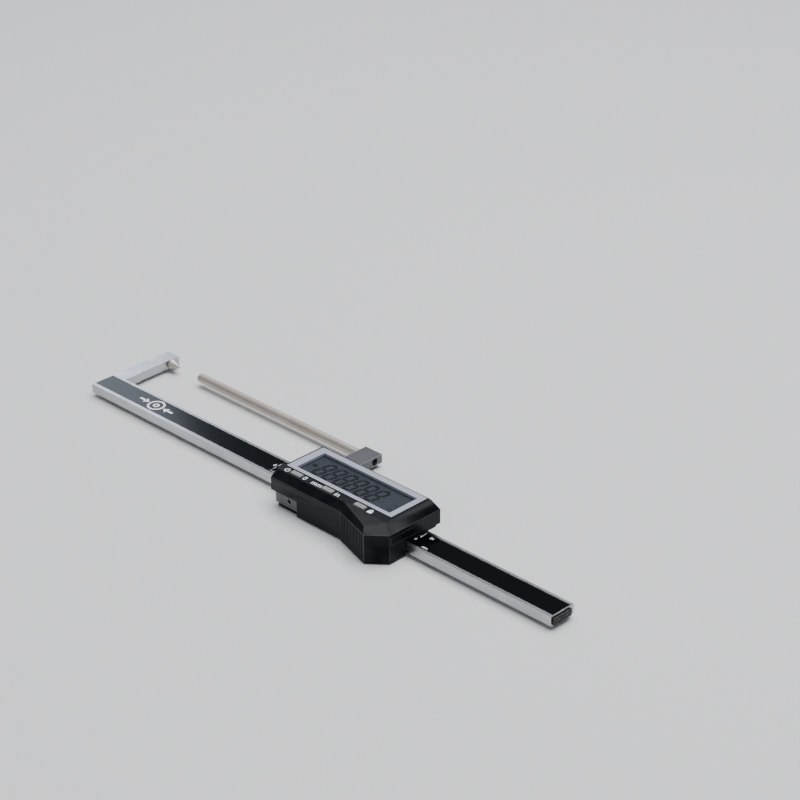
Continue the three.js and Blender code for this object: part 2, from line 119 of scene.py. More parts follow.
@dataclass(frozen=True)
class Finish:
    """What every finish shares: its name, base colour and roughness."""

    name: str
    colour: str
    roughness: float

    def start(self) -> tuple[bpy.types.Material, bpy.types.NodeTree, bpy.types.Node, bpy.types.NodeSocket]:
        """Make the material and its shader.

        Returns:
            The material, its tree, its Principled shader and the Object coordinate socket.
        """
        material = bpy.data.materials.new(self.name)
        material.use_nodes = True
        tree = material.node_tree
        shader = tree.nodes["Principled BSDF"]
        shader.inputs["Base Color"].default_value = linear(self.colour)
        shader.inputs["Roughness"].default_value = self.roughness
        place = add(tree, "TexCoord").outputs["Object"]
        return material, tree, shader, place

    def material(self) -> bpy.types.Material:
        """Return the finished material."""
        return self.start()[0]

    def rubbed_and_highlit_edges(self, tree: bpy.types.NodeTree, reach_mm: float, most: float) -> bpy.types.NodeSocket:
        """Mask the edges that are painted lighter, partly as rubbed wear and partly as a painted highlight:
        there the rounded normal leaves the true one.

        Args:
            tree: the material's node tree.
            reach_mm: how far from an edge it is lightened.
            most: the mask's value on the edge itself.

        Returns:
            The mask's socket, 0 on flats.
        """
        rounded = add(tree, "Bevel", {"Radius": reach_mm * MM}, samples=6).outputs[0]
        true = add(tree, "NewGeometry").outputs["Normal"]
        match = add(tree, "VectorMath", {0: rounded, 1: true}, operation="DOT_PRODUCT")
        limits = {"From Min": 0.99, "From Max": 0.92, "To Max": most}
        return add(tree, "MapRange", {"Value": match.outputs["Value"], **limits}).outputs[0]


@dataclass(frozen=True)
class WorkedMetal(Finish):
    """Bare or blackened metal with the fine parallel marks of its grinding or turning, and edges painted
    lighter: partly wear, partly a painted highlight.
    """

    mark_colour: str
    grain: Grain
    mark_depth: float
    metallic: float = 1.0
    # The colour that edges are painted towards: bare steel where black oxide wears through, and a painted
    # highlight on every metal.
    bare_and_highlight_colour: str = "e2e3e5"
    # How far from an edge the wear and the painted highlight reach, in millimetres.
    rub_and_highlight_mm: float = 0.3
    cloud_mm: float = 12.5

    def material(self) -> bpy.types.Material:
        """Return metal whose marks vary its colour, its gloss and its surface."""
        material, tree, shader, place = self.start()
        shader.inputs["Metallic"].default_value = self.metallic
        scaled = add(tree, "Mapping", {"Vector": place, "Scale": self.grain.value})
        marks = add(tree, "TexNoise", {"Vector": scaled.outputs[0], "Scale": 1.0, "Detail": 3.0})
        # Handling leaves broad, faint cloudy patches.
        cloud = add(tree, "TexNoise", {"Vector": place, "Scale": 1 / (self.cloud_mm * MM), "Detail": 2.0})
        both = add(tree, "Math", {0: marks.outputs[0], 1: cloud.outputs[0]}, operation="MULTIPLY")
        tint = add(tree, "MapRange", {"Value": both.outputs[0], "From Min": 0.02, "From Max": 0.42})
        colours = {0: tint.outputs[0], 6: linear(self.mark_colour), 7: linear(self.colour)}
        mix = add(tree, "Mix", colours, data_type="RGBA")
        # Edges are painted towards the bare colour: partly wear, partly a painted highlight along each edge.
        bare_and_highlit = {0: self.rubbed_and_highlit_edges(tree, self.rub_and_highlight_mm, 0.6), 6: mix.outputs[2], 7: linear(self.bare_and_highlight_colour)}
        worn_and_highlit = add(tree, "Mix", bare_and_highlit, data_type="RGBA")
        tree.links.new(worn_and_highlit.outputs[2], shader.inputs["Base Color"])
        limits = {"To Min": self.roughness + 0.09, "To Max": self.roughness - 0.06}
        gloss = add(tree, "MapRange", {"Value": tint.outputs[0], **limits})
        tree.links.new(gloss.outputs[0], shader.inputs["Roughness"])
        height = {"Height": marks.outputs[0], "Strength": 0.35, "Distance": self.mark_depth * MM}
        bump = add(tree, "Bump", height)
        tree.links.new(bump.outputs[0], shader.inputs["Normal"])
        return material


@dataclass(frozen=True)
class MouldedPlastic(Finish):
    """Plastic or rubber with the fine grain of its mould, and edges painted a little lighter: partly rubbed
    wear, partly a painted highlight.
    """

    # The colour of the lighter mottle patches and of the edges, which are partly rubbed wear and partly a
    # painted highlight.
    patch_wear_and_highlight_colour: str
    grain_mm: float
    bump_mm: float
    coat: float = 0.0
    specular: float = 0.5
    mottle_mm: float = 8.0
    mottle: float = 0.25
    # How far from an edge the rubbed wear and the painted highlight reach, in millimetres.
    rub_and_highlight_mm: float = 0.5

    def material(self) -> bpy.types.Material:
        """Return plastic with a fine mould grain, faint mottling and edges painted lighter, partly as wear
        and partly as a painted highlight.
        """
        material, tree, shader, place = self.start()
        shader.inputs["IOR"].default_value = 1.5
        shader.inputs["Specular IOR Level"].default_value = self.specular
        shader.inputs["Coat Weight"].default_value = self.coat
        shader.inputs["Coat Roughness"].default_value = 0.08
        fine = add(tree, "TexNoise", {"Vector": place, "Scale": 1 / (self.grain_mm * MM), "Detail": 4.0})
        broad = add(tree, "TexNoise", {"Vector": place, "Scale": 1 / (self.mottle_mm * MM), "Detail": 2.0})
        # Edges are painted lighter: partly rubbed wear, partly a painted highlight along the folds.
        edge_wear_and_highlight = self.rubbed_and_highlit_edges(tree, self.rub_and_highlight_mm, 0.55)
        patch = add(tree, "MapRange", {"Value": broad.outputs[0], "From Min": 0.35, "To Max": self.mottle})
        amount = add(tree, "Math", {0: edge_wear_and_highlight, 1: patch.outputs[0]}, operation="ADD")
        colours = {0: amount.outputs[0], 6: linear(self.colour), 7: linear(self.patch_wear_and_highlight_colour)}
        mix = add(tree, "Mix", colours, data_type="RGBA")
        tree.links.new(mix.outputs[2], shader.inputs["Base Color"])
        limits = {"To Min": self.roughness - 0.05, "To Max": self.roughness + 0.07}
        gloss = add(tree, "MapRange", {"Value": fine.outputs[0], **limits})
        tree.links.new(gloss.outputs[0], shader.inputs["Roughness"])
        height = {"Height": fine.outputs[0], "Strength": 0.5, "Distance": self.bump_mm * MM}
        bump = add(tree, "Bump", height)
        tree.links.new(bump.outputs[0], shader.inputs["Normal"])
        return material


@dataclass(frozen=True)
class ClearPlastic(Finish):
    """A clear window, hard-coated, with a trace of polish marks in its gloss."""

    cover: float = 0.22
    wipes_per_metre: float = 260.0

    def material(self) -> bpy.types.Material:
        """Return clear acrylic."""
        material, tree, shader, place = self.start()
        shader.inputs["IOR"].default_value = 1.49
        shader.inputs["Alpha"].default_value = self.cover
        wipe = add(tree, "TexNoise", {"Vector": place, "Scale": self.wipes_per_metre, "Detail": 5.0})
        gloss = add(tree, "MapRange", {"Value": wipe.outputs[0], "To Min": 0.0, "To Max": self.roughness})
        tree.links.new(gloss.outputs[0], shader.inputs["Roughness"])
        return material


# ---- Finishes -----------------------------------------------------------------------------------


# Cold-rolled carbon steel, ground and lapped: bright, with lines along the beam.
LAPPED_STEEL = WorkedMetal("lapped_steel", "bfc0c3", 0.25, "9c9da0", Grain.ALONG_BEAM, 0.002)
# The same steel left satin from a belt, on the slider's frame.
BELT_STEEL = WorkedMetal("belt_ground_steel", "737477", 0.42, "56575a", Grain.ALONG_JAW, 0.008)
# Bright-drawn round bar: warm grey with fine rings from the centreless grinder.
DRAWN_STEEL = WorkedMetal("bright_drawn_steel", "c6beb5", 0.46, "a69e95", Grain.ROUND_ROD, 0.006, 0.6)
# Hot-blacked steel: a thin dark oxide that still shines a little.
BLACK_OXIDE = WorkedMetal("black_oxide_steel", "2a2a26", 0.4, "14150f", Grain.FLAT_LAP, 0.01, 0.8, "a4a5a6")
# Nickel-plated free-cutting steel, bright on the knurl.
NICKEL_PLATE = WorkedMetal("nickel_plated_steel", "c9c7c1", 0.22, "97958f", Grain.ROUND_LOCK, 0.004)
# Half-hard brass strip, warm, with rolling lines.
ROLLED_BRASS = WorkedMetal("rolled_brass", "c3a055", 0.34, "94773a", Grain.ALONG_BEAM, 0.006)
# Stamped stainless steel of a coin cell.
CELL_STEEL = WorkedMetal("stainless_cell_can", "c4c6ca", 0.26, "999b9f", Grain.FLAT_LAP, 0.004)
# Polyester foil printed black on its back: smooth, dark, and glossy at a low angle.
BLACK_FOIL = MouldedPlastic("black_polyester_foil", "05070a", 0.13, "0a0d10", 0.9, 0.0004, specular=0.15)
# Injection-moulded ABS from a spark-eroded mould: satin black, with edges painted grey, partly as rubbed wear
# and partly as a painted highlight.
BLACK_ABS = MouldedPlastic(
    "satin_black_abs", "05090d", 0.36, "5d676f", 0.35, 0.005, specular=0.14, mottle=0.06
)
# Sprayed silver lacquer on moulded ABS.
SILVER_LACQUER = MouldedPlastic("silver_lacquer_on_abs", "9ba0b0", 0.34, "c4c8d2", 0.3, 0.002, 0.2)
# Reflective LCD glass behind its polariser, with the mottled foil of its reflector.
LCD_GLASS = MouldedPlastic(
    "reflective_lcd_glass", "363d46", 0.42, "9099a6", 0.8, 0.003, specular=0.2, mottle_mm=0.6, mottle=0.9
)
# The same glass where a segment, switched off, still shows as a darker patch.
LCD_INK = MouldedPlastic(
    "unlit_lcd_segment", "1c2127", 0.4, "3a414a", 0.8, 0.001, specular=0.2, mottle_mm=0.6, mottle=0.8
)
# Silicone rubber keys, pale grey green and quite matt.
KEY_RUBBER = MouldedPlastic("pale_silicone_rubber", "808783", 0.62, "a0a7a3", 0.4, 0.006)
# Carbon-filled silicone of the display's connector strips, matt.
DARK_RUBBER = MouldedPlastic("dark_silicone_rubber", "2c2c2e", 0.7, "3c3c3e", 0.4, 0.006)
# White epoxy screen ink, slightly raised.
WHITE_INK = MouldedPlastic("white_screen_ink", "f2f5f8", 0.45, "fbfcfd", 0.3, 0.002)
# Green solder mask over a glass-epoxy board.
SOLDER_MASK = MouldedPlastic("green_solder_mask", "1d5632", 0.38, "3b7a50", 1.1, 0.01, 0.2)
# Transfer-moulded epoxy round a chip: matt charcoal.
CHIP_EPOXY = MouldedPlastic("moulded_chip_epoxy", "17181a", 0.6, "2a2b2e", 0.25, 0.004)
# Cast acrylic with a hard coat: it tints what is under it a little darker.
CLEAR_ACRYLIC = ClearPlastic("clear_hard_coated_acrylic", "0c0e10", 0.08)
# A pale matt studio table.
STUDIO_FLOOR = MouldedPlastic("pale_matt_table", "dcdddf", 0.75, "e2e3e4", 6.0, 0.02)


# ---- Mesh work ----------------------------------------------------------------------------------


def corners(node: str) -> tuple[Vector, Vector]:
    """Return a CAD node's lowest and highest corners in millimetres."""
    low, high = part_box(node)
    return Vector(low) / MM, Vector(high) / MM


def keep_flats_flat(piece: bpy.types.Object) -> bpy.types.Object:
    """Keep a piece's real edges sharp, and shade each flat face by its own direction.

    Args:
        piece: the piece, shaded smooth.

    Returns:
        The same piece.
    """
    piece.data.set_sharp_from_angle(angle=CREASE)
    piece.modifiers.new("flat_faces_stay_flat", "WEIGHTED_NORMAL").keep_sharp = True
    return piece


def finished(name: str, mesh_data: bmesh.types.BMesh, place: Matrix | None = None) -> bpy.types.Object:
    """Turn millimetre mesh data into an object at the origin, in metres.

    Args:
        name: the piece's name.
        mesh_data: the mesh, freed afterwards.
        place: where it goes, in millimetres.

    Returns:
        The linked object, smooth with its real edges kept sharp.
    """
    if place is not None:
        mesh_data.transform(place)
    mesh_data.transform(Matrix.Scale(MM, 4))
    mesh = bpy.data.meshes.new(name)
    mesh_data.to_mesh(mesh)
    mesh_data.free()
    mesh.shade_smooth()
    piece = bpy.data.objects.new(name, mesh)
    bpy.context.scene.collection.objects.link(piece)
    return keep_flats_flat(piece)


def bevelled(mesh_data: bmesh.types.BMesh, edges: Iterable, width: float, segments: int = 3) -> None:
    """Round edges of a mesh.

    Args:
        mesh_data: the mesh that holds them.
        edges: the edges to round.
        width: the radius in millimetres.
        segments: faces across each rounded edge.
    """
    bmesh.ops.bevel(
        mesh_data,
        geom=list(edges),
        offset=width,
        offset_type="OFFSET",
        affect="EDGES",
        segments=segments,
        profile=0.5,
        material=-1,
        clamp_overlap=True,
    )


def sharp_edges(mesh_data: bmesh.types.BMesh, degrees: float = 20.0) -> list:
    """Return the edges whose two faces meet at more than an angle."""
    limit = math.radians(degrees)
    return [e for e in mesh_data.edges if len(e.link_faces) == 2 and e.calc_face_angle(0.0) > limit]


def softened(
    node: str,
    width: float,
    keep: Callable[[Vector], bool] | None = None,
    segments: int = 3,
    degrees: float = 20.0,
) -> bpy.types.Object:
    """Copy a CAD node, join its loose faces and round its edges.

    Args:
        node: the CAD node.
        width: the edge radius in millimetres.
        keep: says by its midpoint whether an edge is rounded; every edge where left out.
        segments: faces across each rounded edge.
        degrees: the least angle between two faces that makes their edge a real one.

    Returns:
        The copy, which isn't yet placed on a body.
    """
    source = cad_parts[node]
    mesh_data = bmesh.new()
    mesh_data.from_mesh(source.data)
    mesh_data.transform(source.matrix_world)
    mesh_data.transform(Matrix.Scale(1 / MM, 4))
    bmesh.ops.remove_doubles(mesh_data, verts=mesh_data.verts, dist=CAD_WELD)
    bmesh.ops.dissolve_limit(
        mesh_data,
        angle_limit=FLAT,
        verts=mesh_data.verts,
        edges=mesh_data.edges,
        use_dissolve_boundaries=False,
    )
    chosen = sharp_edges(mesh_data, degrees)
    if keep:
        chosen = [e for e in chosen if keep((e.verts[0].co + e.verts[1].co) / 2)]
    bevelled(mesh_data, chosen, width, segments)
    return finished(node + "_skin", mesh_data)


def spun(profile: Sequence[tuple[float, float]], steps: int = 72) -> bmesh.types.BMesh:
    """Turn a profile of radius and height pairs, from axis to axis, about Z.

    Args:
        profile: radius and height pairs in millimetres.
        steps: faces round the turn.

    Returns:
        The closed turned mesh.
    """
    mesh_data = bmesh.new()
    points = [mesh_data.verts.new((r, 0, z)) for r, z in profile]
    lines = [mesh_data.edges.new(pair) for pair in zip(points, points[1:])]
    bmesh.ops.spin(
        mesh_data,
        geom=points + lines,
        cent=(0, 0, 0),
        axis=(0, 0, 1),
        dvec=(0, 0, 0),
        angle=math.tau,
        steps=steps,
        use_merge=True,
    )
    bmesh.ops.remove_doubles(mesh_data, verts=mesh_data.verts, dist=WELD)
    bmesh.ops.recalc_face_normals(mesh_data, faces=mesh_data.faces)
    return mesh_data


def block(size: Sequence[float], centre: Sequence[float]) -> bmesh.types.BMesh:
    """Make a box.

    Args:
        size: its three sides in millimetres.
        centre: its middle in millimetres.

    Returns:
        The box's mesh.
    """
    mesh_data = bmesh.new()
    place = Matrix.Translation(centre) @ Matrix.Diagonal((*size, 1))
    bmesh.ops.create_cube(mesh_data, size=1, matrix=place)
    return mesh_data


def absorb(target: bmesh.types.BMesh, source: bmesh.types.BMesh, place: Matrix | None = None) -> None:
    """Add one mesh to another, and free it.

    Args:
        target: the mesh that grows.
        source: the mesh that is added.
        place: where it goes first; it stays where it is if left out.
    """
    if place is not None:
        source.transform(place)
    carrier = bpy.data.meshes.new("carrier")
    source.to_mesh(carrier)
    source.free()
    target.from_mesh(carrier)
    bpy.data.meshes.remove(carrier)


def carved(piece: bpy.types.Object, cutter: bmesh.types.BMesh) -> bpy.types.Object:
    """Cut a mesh out of a piece, and apply the cut.

    Args:
        piece: the piece that is cut.
        cutter: the shape that is taken away, in millimetres.

    Returns:
        The same piece.
    """
    tool = finished("cutter", cutter)
    piece.modifiers.clear()
    modifier = piece.modifiers.new("recess", "BOOLEAN")
    modifier.operation = "DIFFERENCE"
    modifier.solver = "EXACT"
    modifier.object = tool
    bpy.context.view_layer.update()
    evaluated = piece.evaluated_get(bpy.context.evaluated_depsgraph_get())
    cut = bpy.data.meshes.new_from_object(evaluated)
    piece.modifiers.clear()
    piece.data = cut
    bpy.data.objects.remove(tool)
    return keep_flats_flat(piece)


class Wardrobe:
    """Makes each finish once and puts it on pieces."""

    made: dict[str, bpy.types.Material] = {}

    @classmethod
    def get(cls, finish: Finish) -> bpy.types.Material:
        """Return a finish's one material.

        Args:
            finish: the finish.

        Returns:
            Its material, made the first time that it is asked for.
        """
        if finish.name not in cls.made:
            cls.made[finish.name] = finish.material()
        return cls.made[finish.name]

    @classmethod
    def dress(cls, piece: bpy.types.Object, finish: Finish) -> None:
        """Put one finish on the whole of a piece."""
        piece.data.materials.clear()
        piece.data.materials.append(cls.get(finish))

    @classmethod
    def dress_node(cls, node: str, finish: Finish) -> None:
        """Put a finish on a CAD node through its object's own slots.

        Args:
            node: the CAD node.
            finish: what it is made of.
        """
        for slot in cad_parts[node].material_slots:
            slot.link = "OBJECT"
            slot.material = cls.get(finish)


def place(
    piece: bpy.types.Object, body: str, slot: str, finish: Finish, *stands_for: str
) -> bpy.types.Object:
    """Dress a piece, ride it on a body and hide the CAD nodes that it stands for.

    Args:
        piece: the finished piece.
        body: the CAD body that it moves with.
        slot: the record's material slot; not used.
        finish: what it is made of.
        stands_for: the CAD nodes that it hides.

    Returns:
        The same piece.
    """
    Wardrobe.dress(piece, finish)
    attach(piece, body)
    if stands_for:
        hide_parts(*stands_for)
    return piece


class Ink:
    """Gathers flat printed marks on one level and makes them one thin piece."""

    arc_step: float = 9.0  # degrees of an arc that one straight side stands for
    capital: float = 0.72  # height of a capital in the built-in face, as a share of its size
    swell: float = 0.004  # how far the ink spreads round a letter, as a share of its height

    def __init__(self, level: float) -> None:
        """Start an empty print on a surface at a height in millimetres."""
        self.level = level
        self.marks = bmesh.new()

    def bar(self, x: float, y: float, length: float, width: float, angle: float = 0.0) -> None:
        """Add a bar.

        Args:
            x: its middle along X.
            y: its middle along Y.
            length: its length.
            width: its width.
            angle: the angle from X to its length, in degrees.
        """
        turn = Matrix.Translation((x, y, 0)) @ Matrix.Rotation(math.radians(angle), 4, "Z")
        size = (length, width, PRINT_THICKNESS)
        absorb(self.marks, block(size, (0, 0, PRINT_THICKNESS / 2 - PRINT_SINK)), turn)

    def outline(self, points: Sequence[tuple[float, float]]) -> None:
        """Add a filled shape.

        Args:
            points: its few corners, anticlockwise.
        """
        shape = bmesh.new()
        shape.faces.new([shape.verts.new((x, y, -PRINT_SINK)) for x, y in points])
        raised = bmesh.ops.extrude_face_region(shape, geom=list(shape.faces), use_keep_orig=True)
        top = [v for v in raised["geom"] if isinstance(v, bmesh.types.BMVert)]
        bmesh.ops.translate(shape, vec=(0, 0, PRINT_THICKNESS), verts=top)
        bmesh.ops.recalc_face_normals(shape, faces=shape.faces)
        absorb(self.marks, shape)

    def arc(self, x: float, y: float, radius: float, width: float, start: float, sweep: float) -> None:
        """Add part of a ring.

        Args:
            x: the ring's centre along X.
            y: the ring's centre along Y.
            radius: the radius to the middle of the band.
            width: the band's width.
            start: the angle where it starts, in degrees.
            sweep: the angle that it covers, in degrees; 360 closes it.
        """
        band = bmesh.new()
        inner = radius - width / 2
        ring = [(inner, -PRINT_SINK), (inner + width, -PRINT_SINK)]
        ring += [(r, PRINT_THICKNESS - PRINT_SINK) for r, _ in reversed(ring)]
        section = band.faces.new([band.verts.new((r, 0, z)) for r, z in ring])
        whole = sweep >= 360
        edges = list(section.edges)
        geometry = list(section.verts) + edges
        if whole:
            bmesh.ops.delete(band, geom=[section], context="FACES_ONLY")
        else:
            geometry.append(section)
        bmesh.ops.spin(
            band,
            geom=geometry,
            cent=(0, 0, 0),
            axis=(0, 0, 1),
            dvec=(0, 0, 0),
            angle=math.radians(sweep),
            steps=max(8, int(sweep / self.arc_step)),
            use_merge=whole,
        )
        bmesh.ops.remove_doubles(band, verts=band.verts, dist=WELD)
        bmesh.ops.recalc_face_normals(band, faces=band.faces)
        turn = Matrix.Translation((x, y, 0)) @ Matrix.Rotation(math.radians(start), 4, "Z")
        absorb(self.marks, band, turn)

    def text(self, words: str, x: float, y: float, height: float) -> None:
        """Add words.

        Args:
            words: what they say.
            x: their middle along X.
            y: their middle along Y.
            height: the height of a capital in millimetres.
        """
        curve = bpy.data.curves.new("words", "FONT")
        curve.body = words
        curve.align_x = "CENTER"
        curve.align_y = "CENTER"
        curve.size = height / self.capital
        curve.extrude = PRINT_THICKNESS / 2
        curve.offset = height * self.swell
        holder = bpy.data.objects.new("words", curve)
        mesh = bpy.data.meshes.new_from_object(holder)
        shape = bmesh.new()
        shape.from_mesh(mesh)
        bmesh.ops.remove_doubles(shape, verts=shape.verts, dist=WELD)
        absorb(self.marks, shape, Matrix.Translation((x, y, PRINT_THICKNESS / 2 - PRINT_SINK)))
        bpy.data.objects.remove(holder)
        bpy.data.curves.remove(curve)
        bpy.data.meshes.remove(mesh)

    def piece(self, name: str) -> bpy.types.Object:
        """Return the marks as one piece."""
        return finished(name, self.marks, Matrix.Translation((0, 0, self.level)))


def pointing(axis: Sequence[float], origin: Sequence[float]) -> Matrix:
    """Return the place that turns +Z to an axis at an origin in millimetres."""
    turn = Vector(axis).to_track_quat("Z", "Y").to_matrix().to_4x4()
    return Matrix.Translation(origin) @ turn


# ---- Beam ---------------------------------------------------------------------------------------


@dataclass
class Beam:
    """The ground steel beam, its arm, the anvil and the stop on the free end."""

    edge: float = 0.3
    arm_width: float = 9.0
    anvil_stem: float = 1.5
    anvil_collar: float = 3.0
    zero_x: float = -58.7
    zero_line: float = 5.2
    inch: float = 25.4
    ink_clear: float = 0.25
    mm_ticks: tuple[float, float, float] = (3.0, 2.2, 1.4)
    inch_ticks: tuple[float, float, float] = (3.0, 2.1, 1.3)
    mm_label_x: float = 51.5
    inch_label_x: float = 48.1
    emblem_x: float = -155.0
    emblem_unit: float = 1.25

    def steel(self) -> None:
        """Round the beam's edges a little, as its grinding leaves them."""
        place(softened("beam", self.edge), "beam", "polished_steel", LAPPED_STEEL, "beam")
        place(softened("scale_strip", 0.06, segments=2), "beam", "black_laminate", BLACK_FOIL, "scale_strip")

    def anvil(self) -> None:
        """Turn the anvil: a stem, a collar against the arm, and a blunt cone."""
        low, high = corners("fixed_anvil")
        arm_face = corners("beam")[0].x + self.arm_width
        collar = arm_face - low.x + 0.15
        length = high.x - low.x
        stem = self.anvil_stem
        rim = self.anvil_collar
        chamfer = 0.25
        profile = [
            (0, 0),
            (stem, 0),
            (stem, collar),
            (rim - chamfer, collar),
            (rim, collar + chamfer),
            (rim, collar + 1.4),
            (rim - 0.15, collar + 1.6),
            (0.4, length - 0.12),
            (0.22, length),
            (0, length),
        ]
        centre = (low.x, (low.y + high.y) / 2, (low.z + high.z) / 2)
        piece = finished("fixed_anvil_turned", spun(profile), pointing((1, 0, 0), centre))
        place(piece, "beam", "rod_steel", DRAWN_STEEL, "fixed_anvil")

    def stop(self) -> None:
        """Dress the end plate and give its screws a cross recess."""
        place(softened("end_stop", 0.12, segments=2), "beam", "black_steel", BLACK_OXIDE, "end_stop")
        for number in (1, 2):
            node = f"end_stop_screw_{number}"
            place(Screw(node, (-1, 0, 0)).cross(), "beam", "black_steel", BLACK_OXIDE, node)

    def ticks(self, ink: Ink, low: Vector, high: Vector) -> None:
        """Rule the millimetre scale on the near edge and the inch scale on the far one.

        Args:
            ink: the print that takes them.
            low: the foil's lowest corner.
            high: the foil's highest corner.
        """
        number_inset = 4.4
        tens, fives, ones = self.mm_ticks
        for step in range(101):
            length = tens if step % 10 == 0 else fives if step % 5 == 0 else ones
            ink.bar(self.zero_x + step, low.y + self.ink_clear + length / 2, 0.16, length)
        inches, quarters, sixteenths = self.inch_ticks
        for step in range(65):
            length = inches if step % 16 == 0 else quarters if step % 4 == 0 else sixteenths
            x = self.zero_x + step * self.inch / 16
            ink.bar(x, high.y - self.ink_clear - length / 2, 0.18, length)
        for number in range(1, 11):
            ink.text(str(number * 10), self.zero_x + number * 10, low.y + number_inset, 1.7)
        for number in range(1, 5):
            ink.text(str(number), self.zero_x + number * self.inch, high.y - number_inset, 1.9)

    def emblem(self, ink: Ink, x: float, y: float, unit: float) -> None:
        """Print a plain picture of a brake disc between two arrows, with no name.

        Args:
            ink: the print that takes it.
            x: the disc's centre along the beam.
            y: the disc's centre across the beam.
            unit: the scale of the picture; at 1 the disc is 8 mm across.
        """
        ink.arc(x, y, 3.6 * unit, 0.9 * unit, 0, 360)
        ink.arc(x, y, 1.1 * unit, 0.8 * unit, 0, 360)
        for side in (-1, 1):
            ink.bar(x + side * 8.8 * unit, y, 3.6 * unit, 1.1 * unit)
            tip = x + side * 4.6 * unit
            back = x + side * 7.2 * unit
            points = [(tip, y), (back, y + 1.8 * unit), (back, y - 1.8 * unit)]
            ink.outline(points if side < 0 else points[::-1])

    def scale(self) -> None:
        """Print the scales, the zero line and the emblem on the black foil."""
        low, high = corners("scale_strip")
        ink = Ink(high.z)
        self.ticks(ink, low, high)
        middle = (low.y + high.y) / 2
        inset = self.zero_line / 2 + 0.3
        ink.bar(self.zero_x, low.y + inset, 0.22, self.zero_line)
        ink.bar(self.zero_x, high.y - inset, 0.22, self.zero_line)
        ink.text("0", self.zero_x - 1.9, middle, 2.2)
        ink.text("mm", self.mm_label_x, low.y + 1.5, 1.8)
        ink.text("in", self.inch_label_x, high.y - 2.1, 2.4)
        self.emblem(ink, self.emblem_x, middle, self.emblem_unit)
        place(ink.piece("scale_print"), "beam", "key_rubber", WHITE_INK)

    def build(self) -> None:
        """Build every piece of the beam."""
        self.steel()
        self.anvil()
        self.stop()
        self.scale()


@dataclass
class Screw:
    """A small screw that stands for one CAD node; its drive points against its axis."""

    node: str
    axis: tuple[float, float, float]
    sides: int = 48
    shank_share: float = 0.52
    chamfer_share: float = 0.12

    def body(self, head_share: float) -> tuple[bpy.types.Object, float, Vector]:
        """Turn the head and shank in the node's box.

        Args:
            head_share: the part of the length that is head.

        Returns:
            The piece, its head radius and the middle of its head's face.
        """
        low, high = corners(self.node)
        along = Vector(self.axis)
        length = abs((high - low).dot(along))
        radius = min(high - low) / 2
        start = (low + high) / 2 - along * length / 2
        head = length * head_share
        shank = radius * self.shank_share
        chamfer = radius * self.chamfer_share
        profile = [
            (0, 0),
            (radius - chamfer, 0),
            (radius, chamfer),
            (radius, head),
            (shank, head),
            (shank, length - chamfer),
            (shank - chamfer, length),
            (0, length),
        ]
        piece = finished(self.node + "_turned", spun(profile, self.sides), pointing(self.axis, start))
        return piece, radius, start

    def cross(self, head_share: float = 0.1) -> bpy.types.Object:
        """Make the screw with a cross recess.

        Args:
            head_share: the part of the length that is head.

        Returns:
            The piece.
        """
        piece, radius, start = self.body(head_share)
        for length, width in ((1.2, 0.24), (0.24, 1.2)):
            tool = block((radius * length, radius * width, radius * 0.8), (0, 0, 0))
            piece = carved(piece, self.turned(tool, start))
        return piece

    def slot(self, head_share: float) -> bpy.types.Object:
        """Make the screw with a straight slot.

        Args:
            head_share: the part of the length that is head.

        Returns:
            The piece.
        """
        piece, radius, start = self.body(head_share)
        return carved(piece, self.turned(block((radius * 2.4, radius * 0.3, radius), (0, 0, 0)), start))

    def socket(self, head_share: float) -> bpy.types.Object:
        """Make the screw with a hexagon socket.

        Args:
            head_share: the part of the length that is head.

        Returns:
            The piece.
        """
        piece, radius, start = self.body(head_share)
        key = radius * 0.55
        tool = bmesh.new()
        bmesh.ops.create_cone(tool, cap_ends=True, segments=6, radius1=key, radius2=key, depth=key * 2)
        return carved(piece, self.turned(tool, start))

    def turned(self, tool: bmesh.types.BMesh, start: Vector) -> bmesh.types.BMesh:
        """Return a cutter moved onto the head's face."""
        tool.transform(pointing(self.axis, start))
        return tool


# ---- Slider -------------------------------------------------------------------------------------


